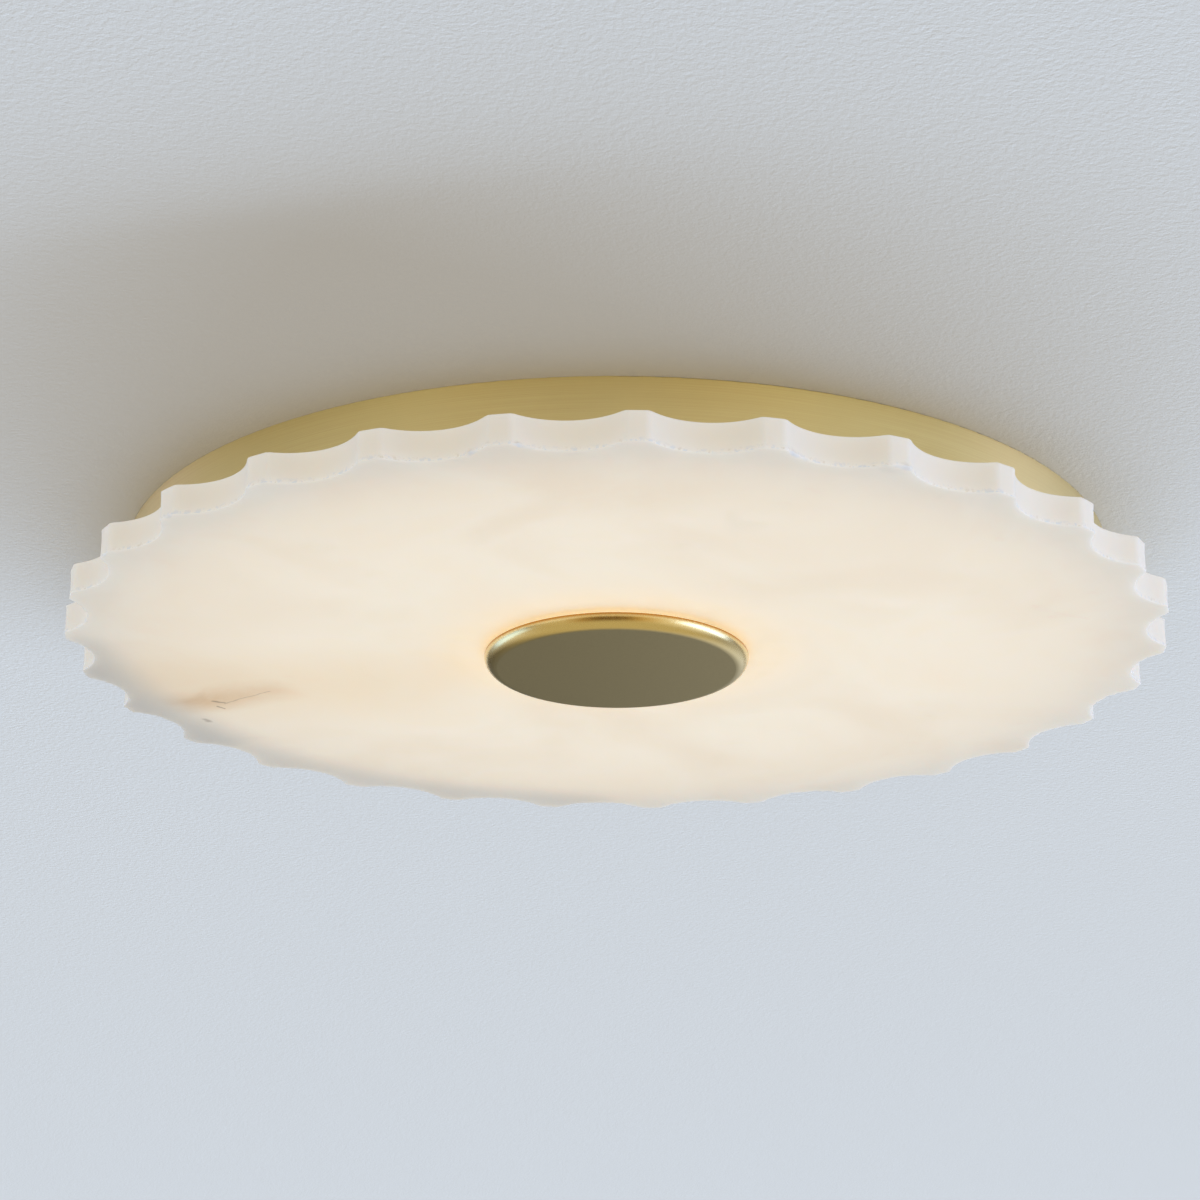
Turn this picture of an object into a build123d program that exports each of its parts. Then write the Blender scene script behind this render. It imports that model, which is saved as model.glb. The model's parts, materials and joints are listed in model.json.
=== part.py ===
from build123d import *
import math
import os

os.makedirs("parts", exist_ok=True)

# Flush mount ceiling light: a fluted alabaster disc under a shallow brass pan, held by a screw-on cap.
# Millimetres, +Z up. The origin is the middle of the pan's back, on the ceiling, so the light hangs
# below zero. The viewer stands on the -Y side and looks up.

# Alabaster disc
stone_diameter = 600.0  # over the crests of the fluted edge
stone_thickness = 16.0
flute_count = 29
flute_depth = 12.0  # crest to valley
crest_land = 12.0  # rim left standing between two flutes
crest_round = 5.0  # rounding where a flute runs out on its crest
stone_arris = 1.0  # eased edges of the two faces
crest_bearing = 10.4  # degrees from +X to the first crest

# Brass pan, spun from sheet
stone_overhang = 19.5  # from the pan's wall out to the valleys of the flutes
pan_depth = 31.0  # ceiling to the underside of the lip
pan_sheet = 1.2
pan_bend = 1.5  # outside radius of its tight spun bends
pan_lip = 11.0  # turned in to carry the gasket
gasket_thickness = 1.0
gasket_width = 7.0

# Crossbar that screws to the ceiling box
bar_width = 24.0
bar_thickness = 2.5
box_screw_spacing = 79.5  # middle of the slots: they take box screws 70 to 89 apart
box_slot_length = 23.8
box_slot_width = 4.8
bar_end = 6.35  # metal beyond each slot
bar_end_room = 8.0  # from the bar's end to the wall of the recess
bar_corner = 4.0

# Centre tube and its nuts, M10 fine thread
tube_diameter = 10.0
tube_bore = 7.0
tube_inset = 0.5  # from the ceiling down to the top of the tube
nut_across_flats = 17.0
nut_height = 5.0
recess_room = 1.5  # from the lock nut down to the pan
pan_washer_diameter = 30.0
pan_washer_thickness = 1.5
sleeve_wall = 3.5

# Stone clamp, from the upper seat to the plate under the stone
seat_thickness = 2.0
upper_pad_thickness = 1.0
lower_pad_thickness = 1.5
clamp_thickness = 2.0
clamp_inset = 16.5  # from the cap's outside to the edge of the seat, pads and plate
bush_wall = 2.7
bush_end_gap = 0.2

# Brass cap
cap_diameter = 145.0
cap_round = 7.0  # quarter-round edge
cap_sheet = 1.2
cap_gap = 2.5  # from the stone down to the cap's rim
hub_wall = 3.0  # around the thread
hub_flange_diameter = 40.0
hub_flange_thickness = 3.0
hub_boss_diameter = 24.0
hub_boss_height = 2.3
hub_floor = 1.8  # metal left under the threaded bore
tube_end_gap = 2.0  # from the tube's end to the floor of that bore
thread_engagement = 13.0

# Screws
m4_shank = 4.0
m4_head = 8.0
m4_head_height = 3.0
m3_shank = 3.0
m3_head = 5.6
m3_head_height = 2.2
screw_tip_inset = 0.2  # tips stop short of the ceiling
pan_screw_room = 1.0  # from the pan washer to each pan screw's head

# Rubber grommets
cable_bore = 10.0  # takes the supply cable
cable_grommet_wall = 2.0
cable_grommet_flange = 3.0
cable_grommet_lip = 2.0
tray_grommet_bore = 6.0
tray_grommet_wall = 1.2
tray_grommet_flange = 1.5
tray_grommet_lip = 1.5

# Driver
driver_length = 130.0
driver_width = 30.0
driver_height = 11.0
driver_base_thickness = 2.0
driver_wall = 1.5
driver_corner = 3.0
driver_edge = 1.0
ear_length = 9.0
ear_width = 14.0
driver_board_thickness = 1.6
driver_board_inset = 7.0  # from the end walls to the circuit board
driver_board_side_room = 1.0
transformer_length = 22.0
transformer_width = 18.0
capacitor_diameter = 5.0
capacitor_length = 16.0
component_spacing = 30.0  # from the driver's middle to the transformer and the capacitors
component_room = 0.6  # from the tallest component to the cover
wiring_room = 31.0  # from the recess wall out to the middle of the driver

# Terminal block
terminal_length = 16.0
pole_pitch = 10.0
pole_count = 3
terminal_end = 3.0  # body beyond the outer poles' share
terminal_height = 10.0
insert_wall = 1.0
insert_inset = 1.0  # from the body's faces to the ends of the brass inserts
insert_play = 0.3  # around the lead
clamp_screw_diameter = 2.8
clamp_screw_spacing = 8.0
clamp_screw_inset = 0.6

# Leads and earth lug
lead_diameter = 2.0
lead_bend = 3.0
lead_gap = 0.6  # between the two leads of a pair
lead_entry = 4.0  # how far a lead reaches inside the driver
lead_clearance = 0.1  # from a lead to the screw or the board it lies on
input_run = 46.0  # terminal block to driver
output_run = 14.0  # driver to tray grommet
input_spacing = 6.0
jumper_inset = 2.0  # from the middle of a board to the end of a jumper
lug_ring = 9.0
lug_sheet = 1.0
lug_barrel = 3.8
lug_barrel_length = 6.0
lug_side_room = 2.0  # from the driver's ear to the lug

# LED tray, standoffs and boards
tray_sheet = 1.0
tray_bend = 4.0
tray_clearance = 1.0  # over the tallest thing on the pan
tray_opening_room = 14.0  # from the recess out to the edge of the tray's opening
tray_rim_room = 3.0  # from the tray's rim to the lip it passes
skirt_width = 23.5
skirt_lift = 4.8  # from the lip up to the rim of the skirt
standoff_count = 6
standoff_across_flats = 5.5
standoff_pilot = 4.2
standoff_thread = 6.0  # screw length inside a standoff
standoff_thread_end = 1.0
board_width = 14.0
board_thickness = 1.6
board_margin = 9.0  # from the outer board to the skirt
inner_board_room = 5.0  # from the tray's opening to the inner board
chip_length = 3.5
chip_width = 2.8
chip_height = 0.8
chip_counts = (24, 36, 48)
board_screw_count = 3
board_screw_turn = 30.0  # degrees from the solder pads to the first board screw

# Clearances, all radial
thread_play = 0.05
fit_play = 0.1
hole_play = 0.3

# Heights, from the ceiling down
recess_depth = bar_thickness + nut_height + recess_room
recess_floor = -(recess_depth + pan_sheet)
plate_level = -pan_sheet
pan_nut_top = recess_floor - pan_washer_thickness
pan_nut_bottom = pan_nut_top - nut_height
lip_level = -pan_depth
stone_top = lip_level - gasket_thickness
stone_bottom = stone_top - stone_thickness
seat_bottom = stone_top + upper_pad_thickness
seat_top = seat_bottom + seat_thickness
lower_pad_bottom = stone_bottom - lower_pad_thickness
clamp_bottom = lower_pad_bottom - clamp_thickness
hub_flange_bottom = clamp_bottom - hub_flange_thickness
hub_bottom = hub_flange_bottom - hub_boss_height
cap_flat = hub_bottom - cap_sheet
cap_rim = stone_bottom - cap_gap
hub_bore_floor = hub_bottom + hub_floor
tube_bottom = hub_bore_floor + tube_end_gap
hub_top = tube_bottom + thread_engagement
standoff_height = max(driver_height, terminal_height) + tray_clearance
tray_top = plate_level - standoff_height
tray_bottom = tray_top - tray_sheet
skirt_bottom = lip_level + skirt_lift
board_bottom = tray_bottom - board_thickness
driver_base_bottom = plate_level - driver_base_thickness
lead_level = plate_level - terminal_height / 2
pad_level = board_bottom - lead_diameter / 2 - lead_clearance
lug_level = plate_level - lug_barrel / 2

# Radii about the centre line
stone_radius = stone_diameter / 2
valley_radius = stone_radius - flute_depth
pan_radius = valley_radius - stone_overhang
lip_radius = pan_radius - pan_lip
tube_radius = tube_diameter / 2
thread_radius = tube_radius + thread_play
loose_radius = tube_radius + hole_play
hub_radius = tube_radius + hub_wall
bush_bore_radius = hub_radius + fit_play
bush_radius = bush_bore_radius + bush_wall
stone_bore_radius = bush_radius + fit_play
cap_radius = cap_diameter / 2
clamp_radius = cap_radius - clamp_inset
bar_length = box_screw_spacing + box_slot_length + 2 * bar_end
recess_radius = bar_length / 2 + bar_end_room
tray_opening_radius = recess_radius + tray_opening_room
tray_rim_radius = lip_radius - tray_rim_room
tray_flat_radius = tray_rim_radius - skirt_width
outer_board_radius = tray_flat_radius - board_margin - board_width / 2
inner_board_radius = tray_opening_radius + inner_board_room + board_width / 2
middle_board_radius = (inner_board_radius + outer_board_radius) / 2
standoff_radius = (middle_board_radius + outer_board_radius) / 2
board_radii = (inner_board_radius, middle_board_radius, outer_board_radius)

# Places of the fastenings and the wiring, in plan
pan_screw_offset = pan_washer_diameter / 2 + pan_screw_room + m4_head / 2
pan_screw_places = ((-pan_screw_offset, 0), (pan_screw_offset, 0))
cable_entry_y = (bar_width / 2 + recess_radius) / 2
wiring_y = recess_radius + pan_sheet + wiring_room
tray_grommet_x = math.sqrt(standoff_radius**2 - wiring_y**2)
driver_right = tray_grommet_x - output_run
driver_left = driver_right - driver_length
driver_x = (driver_left + driver_right) / 2
ear_offset = driver_length / 2 + ear_length / 2
ear_y = wiring_y + (driver_width - ear_width) / 2
driver_screw_places = ((driver_x - ear_offset, ear_y), (driver_x + ear_offset, ear_y))
terminal_right = driver_left - input_run
terminal_x = terminal_right - terminal_length / 2
terminal_width = pole_pitch * pole_count + terminal_end
pole_ys = (wiring_y - pole_pitch, wiring_y, wiring_y + pole_pitch)
fixing_places = ((terminal_x, wiring_y - pole_pitch / 2), (terminal_x, wiring_y + pole_pitch / 2))
earth_x = driver_left - ear_length - lug_side_room - lug_ring / 2
earth_y = pole_ys[0]
lug_start = earth_x - lug_ring / 2 - lug_barrel_length
pad_bearing = math.degrees(math.atan2(wiring_y, math.sqrt(outer_board_radius**2 - wiring_y**2)))
pair_offset = (lead_diameter + lead_gap) / 2

hanging = (Align.CENTER, Align.CENTER, Align.MAX)
standing = (Align.CENTER, Align.CENTER, Align.MIN)


def ring(outer_radius, inner_radius, height):
    """A flat ring that hangs from the working plane."""
    Cylinder(outer_radius, height, align=hanging)
    Cylinder(inner_radius, height, align=hanging, mode=Mode.SUBTRACT)


def screw(shank, head, head_height, reach):
    """A pan-head screw, head down, seated on the working plane."""
    Cylinder(head / 2, head_height, align=hanging)
    Cylinder(shank / 2, reach, align=standing)


def grommet(bore, wall, flange, lip, sheet):
    """A rubber grommet, centred on the sheet it is pressed into."""
    neck = bore / 2 + wall
    Cylinder(neck, sheet)
    with Locations((0, 0, sheet / 2 + lip / 2), (0, 0, -sheet / 2 - lip / 2)):
        Cylinder(neck + flange, lip)
    Cylinder(bore / 2, sheet + 2 * lip, mode=Mode.SUBTRACT)


def hex_nut(top):
    """A hexagon nut on the centre tube, hanging from the given height."""
    with BuildSketch(Plane.XY.offset(top)) as outline:
        RegularPolygon(nut_across_flats / 2, 6, major_radius=False)
        Circle(thread_radius, mode=Mode.SUBTRACT)
    extrude(outline.sketch, amount=-nut_height)


def lead(*points):
    """One insulated lead along straight runs with rounded corners."""
    with BuildLine() as route:
        FilletPolyline(*points, radius=lead_bend)
    with BuildSketch(Plane(route.line @ 0, z_dir=route.line % 0)) as section:
        Circle(lead_diameter / 2)
    sweep(section.sketch, path=route.line)


# Crossbar: a flat strap with two slots for the box screws and three tapped holes
with BuildPart() as crossbar:
    with BuildSketch():
        RectangleRounded(bar_length, bar_width, bar_corner)
        Circle(thread_radius, mode=Mode.SUBTRACT)
        with Locations(*pan_screw_places):
            Circle(m4_shank / 2 + thread_play, mode=Mode.SUBTRACT)
        with GridLocations(box_screw_spacing, 0, 2, 1):
            SlotOverall(box_slot_length, box_slot_width, mode=Mode.SUBTRACT)
    extrude(amount=-bar_thickness)

# Centre tube, screwed into the crossbar and carrying everything below it
with BuildPart(Plane.XY.offset(-tube_inset)) as support_tube:
    ring(tube_radius, tube_bore / 2, -tube_inset - tube_bottom)

with BuildPart() as lock_nut:
    hex_nut(-bar_thickness)

# Pan: recess for the crossbar, back plate, straight wall and turned-in lip in one spun sheet
with BuildPart() as pan:
    with BuildSketch(Plane.XZ):
        with BuildLine():
            FilletPolyline(
                (loose_radius, -recess_depth),
                (recess_radius, -recess_depth),
                (recess_radius, 0),
                (pan_radius, 0),
                (pan_radius, lip_level),
                (lip_radius, lip_level),
                radius=pan_bend,
            )
            offset(amount=pan_sheet, side=Side.RIGHT)
        make_face()
    revolve(axis=Axis.Z)
    with BuildSketch(Plane.XY.offset(recess_floor)):
        with Locations(*pan_screw_places):
            Circle(m4_shank / 2 + hole_play)
        with Locations((0, cable_entry_y)):
            Circle(cable_bore / 2 + cable_grommet_wall + thread_play)
    extrude(amount=pan_sheet, mode=Mode.SUBTRACT)
    with BuildSketch():
        with PolarLocations(standoff_radius, standoff_count):
            Circle(standoff_pilot / 2 + thread_play)
        with Locations(*driver_screw_places, *fixing_places):
            Circle(m3_shank / 2 + thread_play)
        with Locations((earth_x, earth_y)):
            Circle(m4_shank / 2 + thread_play)
    extrude(amount=-pan_sheet, mode=Mode.SUBTRACT)

with BuildPart(Plane.XY.offset(recess_floor)) as pan_screws:
    with Locations(*pan_screw_places):
        screw(m4_shank, m4_head, m4_head_height, -recess_floor - screw_tip_inset)

with BuildPart(Plane.XY.offset(recess_floor)) as pan_washer:
    ring(pan_washer_diameter / 2, loose_radius, pan_washer_thickness)

with BuildPart() as pan_nut:
    hex_nut(pan_nut_top)

with BuildPart(Plane((0, cable_entry_y, recess_floor + pan_sheet / 2))) as cable_grommet:
    grommet(cable_bore, cable_grommet_wall, cable_grommet_flange, cable_grommet_lip, pan_sheet)

# Upper seat of the stone
with BuildPart(Plane.XY.offset(pan_nut_bottom)) as spacer_sleeve:
    ring(loose_radius + sleeve_wall, loose_radius, pan_nut_bottom - seat_top)

with BuildPart(Plane.XY.offset(seat_top)) as seat_flange:
    ring(clamp_radius, loose_radius, seat_thickness)

with BuildPart(Plane.XY.offset(seat_bottom)) as upper_pad:
    ring(clamp_radius, loose_radius, upper_pad_thickness)

with BuildPart(Plane.XY.offset(lip_level)) as rim_gasket:
    ring(lip_radius + gasket_width, lip_radius, gasket_thickness)

# Alabaster disc. Each flute is an arc that meets both neighbouring crests at the rim and reaches the
# valley radius half way between them.
half_pitch = math.pi / flute_count
land_half_angle = crest_land / stone_diameter
crest_reach = stone_radius * math.cos(half_pitch - land_half_angle)
flute_centre = (stone_radius**2 - valley_radius**2) / (2 * (crest_reach - valley_radius))
flute_radius = flute_centre - valley_radius
flute_bearing = math.radians(crest_bearing) + half_pitch
stone_plane = Plane((0, 0, stone_bottom), x_dir=(math.cos(flute_bearing), math.sin(flute_bearing), 0))

with BuildPart() as alabaster_disc:
    with BuildSketch(stone_plane) as stone_outline:
        Circle(stone_radius)
        with PolarLocations(flute_centre, flute_count):
            Circle(flute_radius, mode=Mode.SUBTRACT)
        fillet(stone_outline.vertices(), crest_round)
        Circle(stone_bore_radius, mode=Mode.SUBTRACT)
    extrude(amount=stone_thickness)
    faces = alabaster_disc.faces().filter_by(Axis.Z)
    chamfer([edge for face in faces for edge in face.outer_wire().edges()], stone_arris)

with BuildPart(Plane.XY.offset(stone_top - bush_end_gap)) as bore_bush:
    ring(bush_radius, bush_bore_radius, stone_thickness - 2 * bush_end_gap)

with BuildPart(Plane.XY.offset(stone_bottom)) as lower_pad:
    ring(clamp_radius, hub_radius + hole_play, lower_pad_thickness)

with BuildPart(Plane.XY.offset(lower_pad_bottom)) as clamp_plate:
    ring(clamp_radius, hub_radius + hole_play, clamp_thickness)

# Cap: a spun shell and the threaded hub soldered in it
with BuildPart() as cap_shell:
    with BuildSketch(Plane.XZ):
        with BuildLine():
            FilletPolyline((0, cap_flat), (cap_radius, cap_flat), (cap_radius, cap_rim), radius=cap_round)
            offset(amount=cap_sheet, side=Side.LEFT)
        make_face()
    revolve(axis=Axis.Z)

with BuildPart() as cap_hub:
    with BuildSketch(Plane.XZ):
        with BuildLine():
            Polyline(
                (0, hub_bottom),
                (hub_boss_diameter / 2, hub_bottom),
                (hub_boss_diameter / 2, hub_flange_bottom),
                (hub_flange_diameter / 2, hub_flange_bottom),
                (hub_flange_diameter / 2, clamp_bottom),
                (hub_radius, clamp_bottom),
                (hub_radius, hub_top),
                (thread_radius, hub_top),
                (thread_radius, hub_bore_floor),
                (0, hub_bore_floor),
                close=True,
            )
        make_face()
    revolve(axis=Axis.Z)

# Terminal block with brass inserts, clamp screws and two fixing screws
insert_bore = lead_diameter / 2 + insert_play
insert_radius = insert_bore + insert_wall
fixing_head_depth = m3_head_height + clamp_screw_inset
terminal_bottom = plate_level - terminal_height
pole_plane = Plane((terminal_x, wiring_y, lead_level), x_dir=(0, 1, 0), z_dir=(1, 0, 0))
clamp_screw_plane = Plane((terminal_x, wiring_y, terminal_bottom))

with BuildPart(Plane((terminal_x, wiring_y, plate_level))) as terminal_block:
    Box(terminal_length, terminal_width, terminal_height, align=hanging)
    with BuildSketch(pole_plane):
        with GridLocations(pole_pitch, 0, pole_count, 1):
            Circle(insert_radius + thread_play)
    extrude(amount=terminal_length / 2, both=True, mode=Mode.SUBTRACT)
    with BuildSketch(clamp_screw_plane):
        with GridLocations(clamp_screw_spacing, pole_pitch, 2, pole_count):
            Circle(clamp_screw_diameter / 2 + fit_play)
    extrude(amount=terminal_height / 2, mode=Mode.SUBTRACT)
    with BuildSketch(clamp_screw_plane):
        with GridLocations(0, pole_pitch, 1, 2):
            Circle(m3_shank / 2 + hole_play)
    extrude(amount=terminal_height, mode=Mode.SUBTRACT)
    with BuildSketch(clamp_screw_plane):
        with GridLocations(0, pole_pitch, 1, 2):
            Circle(m3_head / 2 + hole_play)
    extrude(amount=fixing_head_depth, mode=Mode.SUBTRACT)

with BuildPart() as terminal_inserts:
    with BuildSketch(pole_plane):
        with GridLocations(pole_pitch, 0, pole_count, 1):
            Circle(insert_radius)
            Circle(insert_bore, mode=Mode.SUBTRACT)
    extrude(amount=terminal_length / 2 - insert_inset, both=True)
    with BuildSketch(clamp_screw_plane):
        with GridLocations(clamp_screw_spacing, pole_pitch, 2, pole_count):
            Circle(clamp_screw_diameter / 2 + thread_play)
    extrude(amount=terminal_height / 2, mode=Mode.SUBTRACT)

with BuildPart() as terminal_screws:
    with BuildSketch(clamp_screw_plane.offset(clamp_screw_inset)):
        with GridLocations(clamp_screw_spacing, pole_pitch, 2, pole_count):
            Circle(clamp_screw_diameter / 2)
    extrude(amount=terminal_height / 2 - clamp_screw_inset - lead_diameter / 2 - lead_clearance)

with BuildPart(clamp_screw_plane.offset(fixing_head_depth)) as terminal_fixing_screws:
    with GridLocations(0, pole_pitch, 1, 2):
        screw(m3_shank, m3_head, m3_head_height, -terminal_bottom - fixing_head_depth - screw_tip_inset)

# Earth lug and its screw on the back plate
with BuildPart() as earth_lug:
    with BuildSketch(Plane((earth_x, earth_y, plate_level))):
        Circle(lug_ring / 2)
        with Locations((-(lug_ring + lug_barrel_length) / 2, 0)):
            Rectangle(lug_ring / 2 + lug_barrel_length, lug_barrel, align=(Align.MIN, Align.CENTER))
        Circle(m4_shank / 2 + hole_play, mode=Mode.SUBTRACT)
    extrude(amount=-lug_sheet)
    with BuildSketch(Plane((lug_start, earth_y, lug_level), x_dir=(0, 1, 0), z_dir=(1, 0, 0))):
        Circle(lug_barrel / 2)
    extrude(amount=lug_barrel_length)

with BuildPart(Plane((earth_x, earth_y, plate_level - lug_sheet))) as earth_screw:
    screw(m4_shank, m4_head, m4_head_height, lug_sheet + pan_sheet - screw_tip_inset)

# Driver: base plate with ears, cover and circuit board
driver_depth = driver_height - driver_base_thickness
component_height = driver_depth - driver_wall - driver_board_thickness - component_room

with BuildPart() as driver_base:
    with BuildSketch(Plane((driver_x, wiring_y, plate_level))):
        RectangleRounded(driver_length, driver_width, driver_corner)
        with Locations((0, ear_y - wiring_y)):
            Rectangle(driver_length + 2 * ear_length, ear_width)
            with GridLocations(2 * ear_offset, 0, 2, 1):
                Circle(m3_shank / 2 + hole_play, mode=Mode.SUBTRACT)
    extrude(amount=-driver_base_thickness)

with BuildPart() as driver_cover:
    with BuildSketch(Plane((driver_x, wiring_y, driver_base_bottom))):
        RectangleRounded(driver_length, driver_width, driver_corner)
    extrude(amount=-driver_depth)
    fillet(driver_cover.faces().sort_by(Axis.Z)[0].edges(), driver_edge)
    offset(amount=-driver_wall, openings=driver_cover.faces().sort_by(Axis.Z)[-1])
    with BuildSketch(Plane((driver_left, wiring_y, lead_level), x_dir=(0, 1, 0), z_dir=(1, 0, 0))):
        with GridLocations(input_spacing, 0, 2, 1):
            Circle(lead_diameter / 2 + fit_play)
    extrude(amount=driver_wall, mode=Mode.SUBTRACT)
    with BuildSketch(Plane((driver_right, wiring_y, lead_level), x_dir=(0, 1, 0), z_dir=(1, 0, 0))):
        with GridLocations(2 * pair_offset, 0, 2, 1):
            Circle(lead_diameter / 2 + fit_play)
    extrude(amount=-driver_wall, mode=Mode.SUBTRACT)

with BuildPart(Plane((driver_x, wiring_y, driver_base_bottom))) as driver_board:
    Box(
        driver_length - 2 * driver_board_inset,
        driver_width - 2 * (driver_wall + driver_board_side_room),
        driver_board_thickness,
        align=hanging,
    )
    with Locations((-component_spacing, 0, -driver_board_thickness)):
        Box(transformer_length, transformer_width, component_height, align=hanging)
    with Locations((component_spacing, 0, -driver_board_thickness)):
        with GridLocations(0, 2 * capacitor_diameter, 1, 2):
            Box(capacitor_length, capacitor_diameter, min(capacitor_diameter, component_height), align=hanging)

with BuildPart(Plane.XY.offset(driver_base_bottom)) as driver_screws:
    with Locations(*driver_screw_places):
        screw(m3_shank, m3_head, m3_head_height, driver_base_thickness + pan_sheet - screw_tip_inset)

# Leads: mains in, earth and LED supply out
lead_start = terminal_right - terminal_length / 2 + insert_inset
input_bend_start = terminal_right + input_run / 4
input_bend_end = driver_left - input_run / 4
earth_bend_start = terminal_right + (lug_start - terminal_right) / 4
earth_bend_end = lug_start - (lug_start - terminal_right) / 4

with BuildPart() as input_leads:
    for pole_y, side in ((pole_ys[1], -1), (pole_ys[2], 1)):
        entry_y = wiring_y + side * input_spacing / 2
        lead(
            (lead_start, pole_y, lead_level),
            (input_bend_start, pole_y, lead_level),
            (input_bend_end, entry_y, lead_level),
            (driver_left + lead_entry, entry_y, lead_level),
        )

with BuildPart() as earth_lead:
    lead(
        (lead_start, earth_y, lead_level),
        (earth_bend_start, earth_y, lead_level),
        (earth_bend_end, earth_y, lug_level),
        (lug_start, earth_y, lug_level),
    )

with BuildPart() as output_leads:
    for lead_y in (wiring_y - pair_offset, wiring_y + pair_offset):
        pad_x = math.sqrt(outer_board_radius**2 - lead_y**2)
        lead(
            (driver_right - lead_entry, lead_y, lead_level),
            (tray_grommet_x, lead_y, lead_level),
            (tray_grommet_x, lead_y, pad_level),
            (pad_x, lead_y, pad_level),
        )

# Standoffs pressed into the back plate, and the white tray that they carry
with BuildPart() as standoffs:
    with BuildSketch(Plane.XY.offset(plate_level)):
        with PolarLocations(standoff_radius, standoff_count):
            RegularPolygon(standoff_across_flats / 2, 6, major_radius=False)
    extrude(amount=-standoff_height)
    with BuildSketch():
        with PolarLocations(standoff_radius, standoff_count):
            Circle(standoff_pilot / 2)
    extrude(amount=-pan_sheet)
    with BuildSketch(Plane.XY.offset(tray_top)):
        with PolarLocations(standoff_radius, standoff_count):
            Circle(m3_shank / 2 + thread_play)
    extrude(amount=standoff_thread + standoff_thread_end, mode=Mode.SUBTRACT)

with BuildPart() as led_tray:
    with BuildSketch(Plane.XZ):
        with BuildLine():
            FilletPolyline(
                (tray_opening_radius, tray_top),
                (tray_flat_radius, tray_top),
                (tray_rim_radius, skirt_bottom),
                radius=tray_bend,
            )
            offset(amount=tray_sheet, side=Side.RIGHT)
        make_face()
    revolve(axis=Axis.Z)
    with BuildSketch(Plane.XY.offset(tray_top)):
        with PolarLocations(standoff_radius, standoff_count):
            Circle(m3_shank / 2 + hole_play)
        for board_radius in board_radii:
            with PolarLocations(board_radius, board_screw_count, pad_bearing + board_screw_turn):
                Circle(m3_shank / 2 + thread_play)
        with Locations((tray_grommet_x, wiring_y)):
            Circle(tray_grommet_bore / 2 + tray_grommet_wall + thread_play)
    extrude(amount=-tray_sheet, mode=Mode.SUBTRACT)

with BuildPart(Plane.XY.offset(tray_bottom)) as tray_screws:
    with PolarLocations(standoff_radius, standoff_count):
        screw(m3_shank, m3_head, m3_head_height, tray_sheet + standoff_thread)

with BuildPart(Plane((tray_grommet_x, wiring_y, tray_top - tray_sheet / 2))) as tray_grommet:
    grommet(tray_grommet_bore, tray_grommet_wall, tray_grommet_flange, tray_grommet_lip, tray_sheet)


def led_board(board_radius):
    """A ring-shaped circuit board with its screw holes, hanging from the working plane."""
    ring(board_radius + board_width / 2, board_radius - board_width / 2, board_thickness)
    with PolarLocations(board_radius, board_screw_count, pad_bearing + board_screw_turn):
        Cylinder(m3_shank / 2 + hole_play, board_thickness, align=hanging, mode=Mode.SUBTRACT)


with BuildPart(Plane.XY.offset(tray_bottom)) as inner_board:
    led_board(inner_board_radius)

with BuildPart(Plane.XY.offset(tray_bottom)) as middle_board:
    led_board(middle_board_radius)

with BuildPart(Plane.XY.offset(tray_bottom)) as outer_board:
    led_board(outer_board_radius)

# The chips leave a gap at the solder pads and opposite them
with BuildPart(Plane.XY.offset(board_bottom)) as led_chips:
    for board_radius, chip_count in zip(board_radii, chip_counts):
        with PolarLocations(board_radius, chip_count, pad_bearing + 180 / chip_count):
            Box(chip_width, chip_length, chip_height, align=hanging)

with BuildPart(Plane.XY.offset(board_bottom)) as board_screws:
    for board_radius in board_radii:
        with PolarLocations(board_radius, board_screw_count, pad_bearing + board_screw_turn):
            screw(m3_shank, m3_head, m3_head_height, board_thickness + tray_sheet)

# Pairs of bare jumpers that carry the supply from board to board, opposite the solder pads
with BuildPart() as board_jumpers:
    for near_radius, far_radius in zip(board_radii, board_radii[1:]):
        jumper_plane = Plane.YZ.rotated((0, 0, pad_bearing + 180)).offset(near_radius + jumper_inset)
        with BuildSketch(jumper_plane):
            with Locations((-pair_offset, pad_level), (pair_offset, pad_level)):
                Circle(lead_diameter / 2)
        extrude(amount=far_radius - near_radius - 2 * jumper_inset)

pieces = {
    "alabaster_disc": alabaster_disc,
    "pan": pan,
    "cap_shell": cap_shell,
    "cap_hub": cap_hub,
    "crossbar": crossbar,
    "support_tube": support_tube,
    "lock_nut": lock_nut,
    "pan_screws": pan_screws,
    "pan_washer": pan_washer,
    "pan_nut": pan_nut,
    "spacer_sleeve": spacer_sleeve,
    "seat_flange": seat_flange,
    "upper_pad": upper_pad,
    "rim_gasket": rim_gasket,
    "bore_bush": bore_bush,
    "lower_pad": lower_pad,
    "clamp_plate": clamp_plate,
    "cable_grommet": cable_grommet,
    "terminal_block": terminal_block,
    "terminal_inserts": terminal_inserts,
    "terminal_screws": terminal_screws,
    "terminal_fixing_screws": terminal_fixing_screws,
    "earth_screw": earth_screw,
    "earth_lug": earth_lug,
    "earth_lead": earth_lead,
    "driver_base": driver_base,
    "driver_cover": driver_cover,
    "driver_board": driver_board,
    "driver_screws": driver_screws,
    "input_leads": input_leads,
    "output_leads": output_leads,
    "standoffs": standoffs,
    "led_tray": led_tray,
    "tray_screws": tray_screws,
    "tray_grommet": tray_grommet,
    "inner_board": inner_board,
    "middle_board": middle_board,
    "outer_board": outer_board,
    "led_chips": led_chips,
    "board_screws": board_screws,
    "board_jumpers": board_jumpers,
}
for name, piece in pieces.items():
    piece.part.label = name
    export_step(piece.part, f"parts/{name}.step")
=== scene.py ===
import bpy
import json
import math
from mathutils import Matrix, Vector, noise


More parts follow.
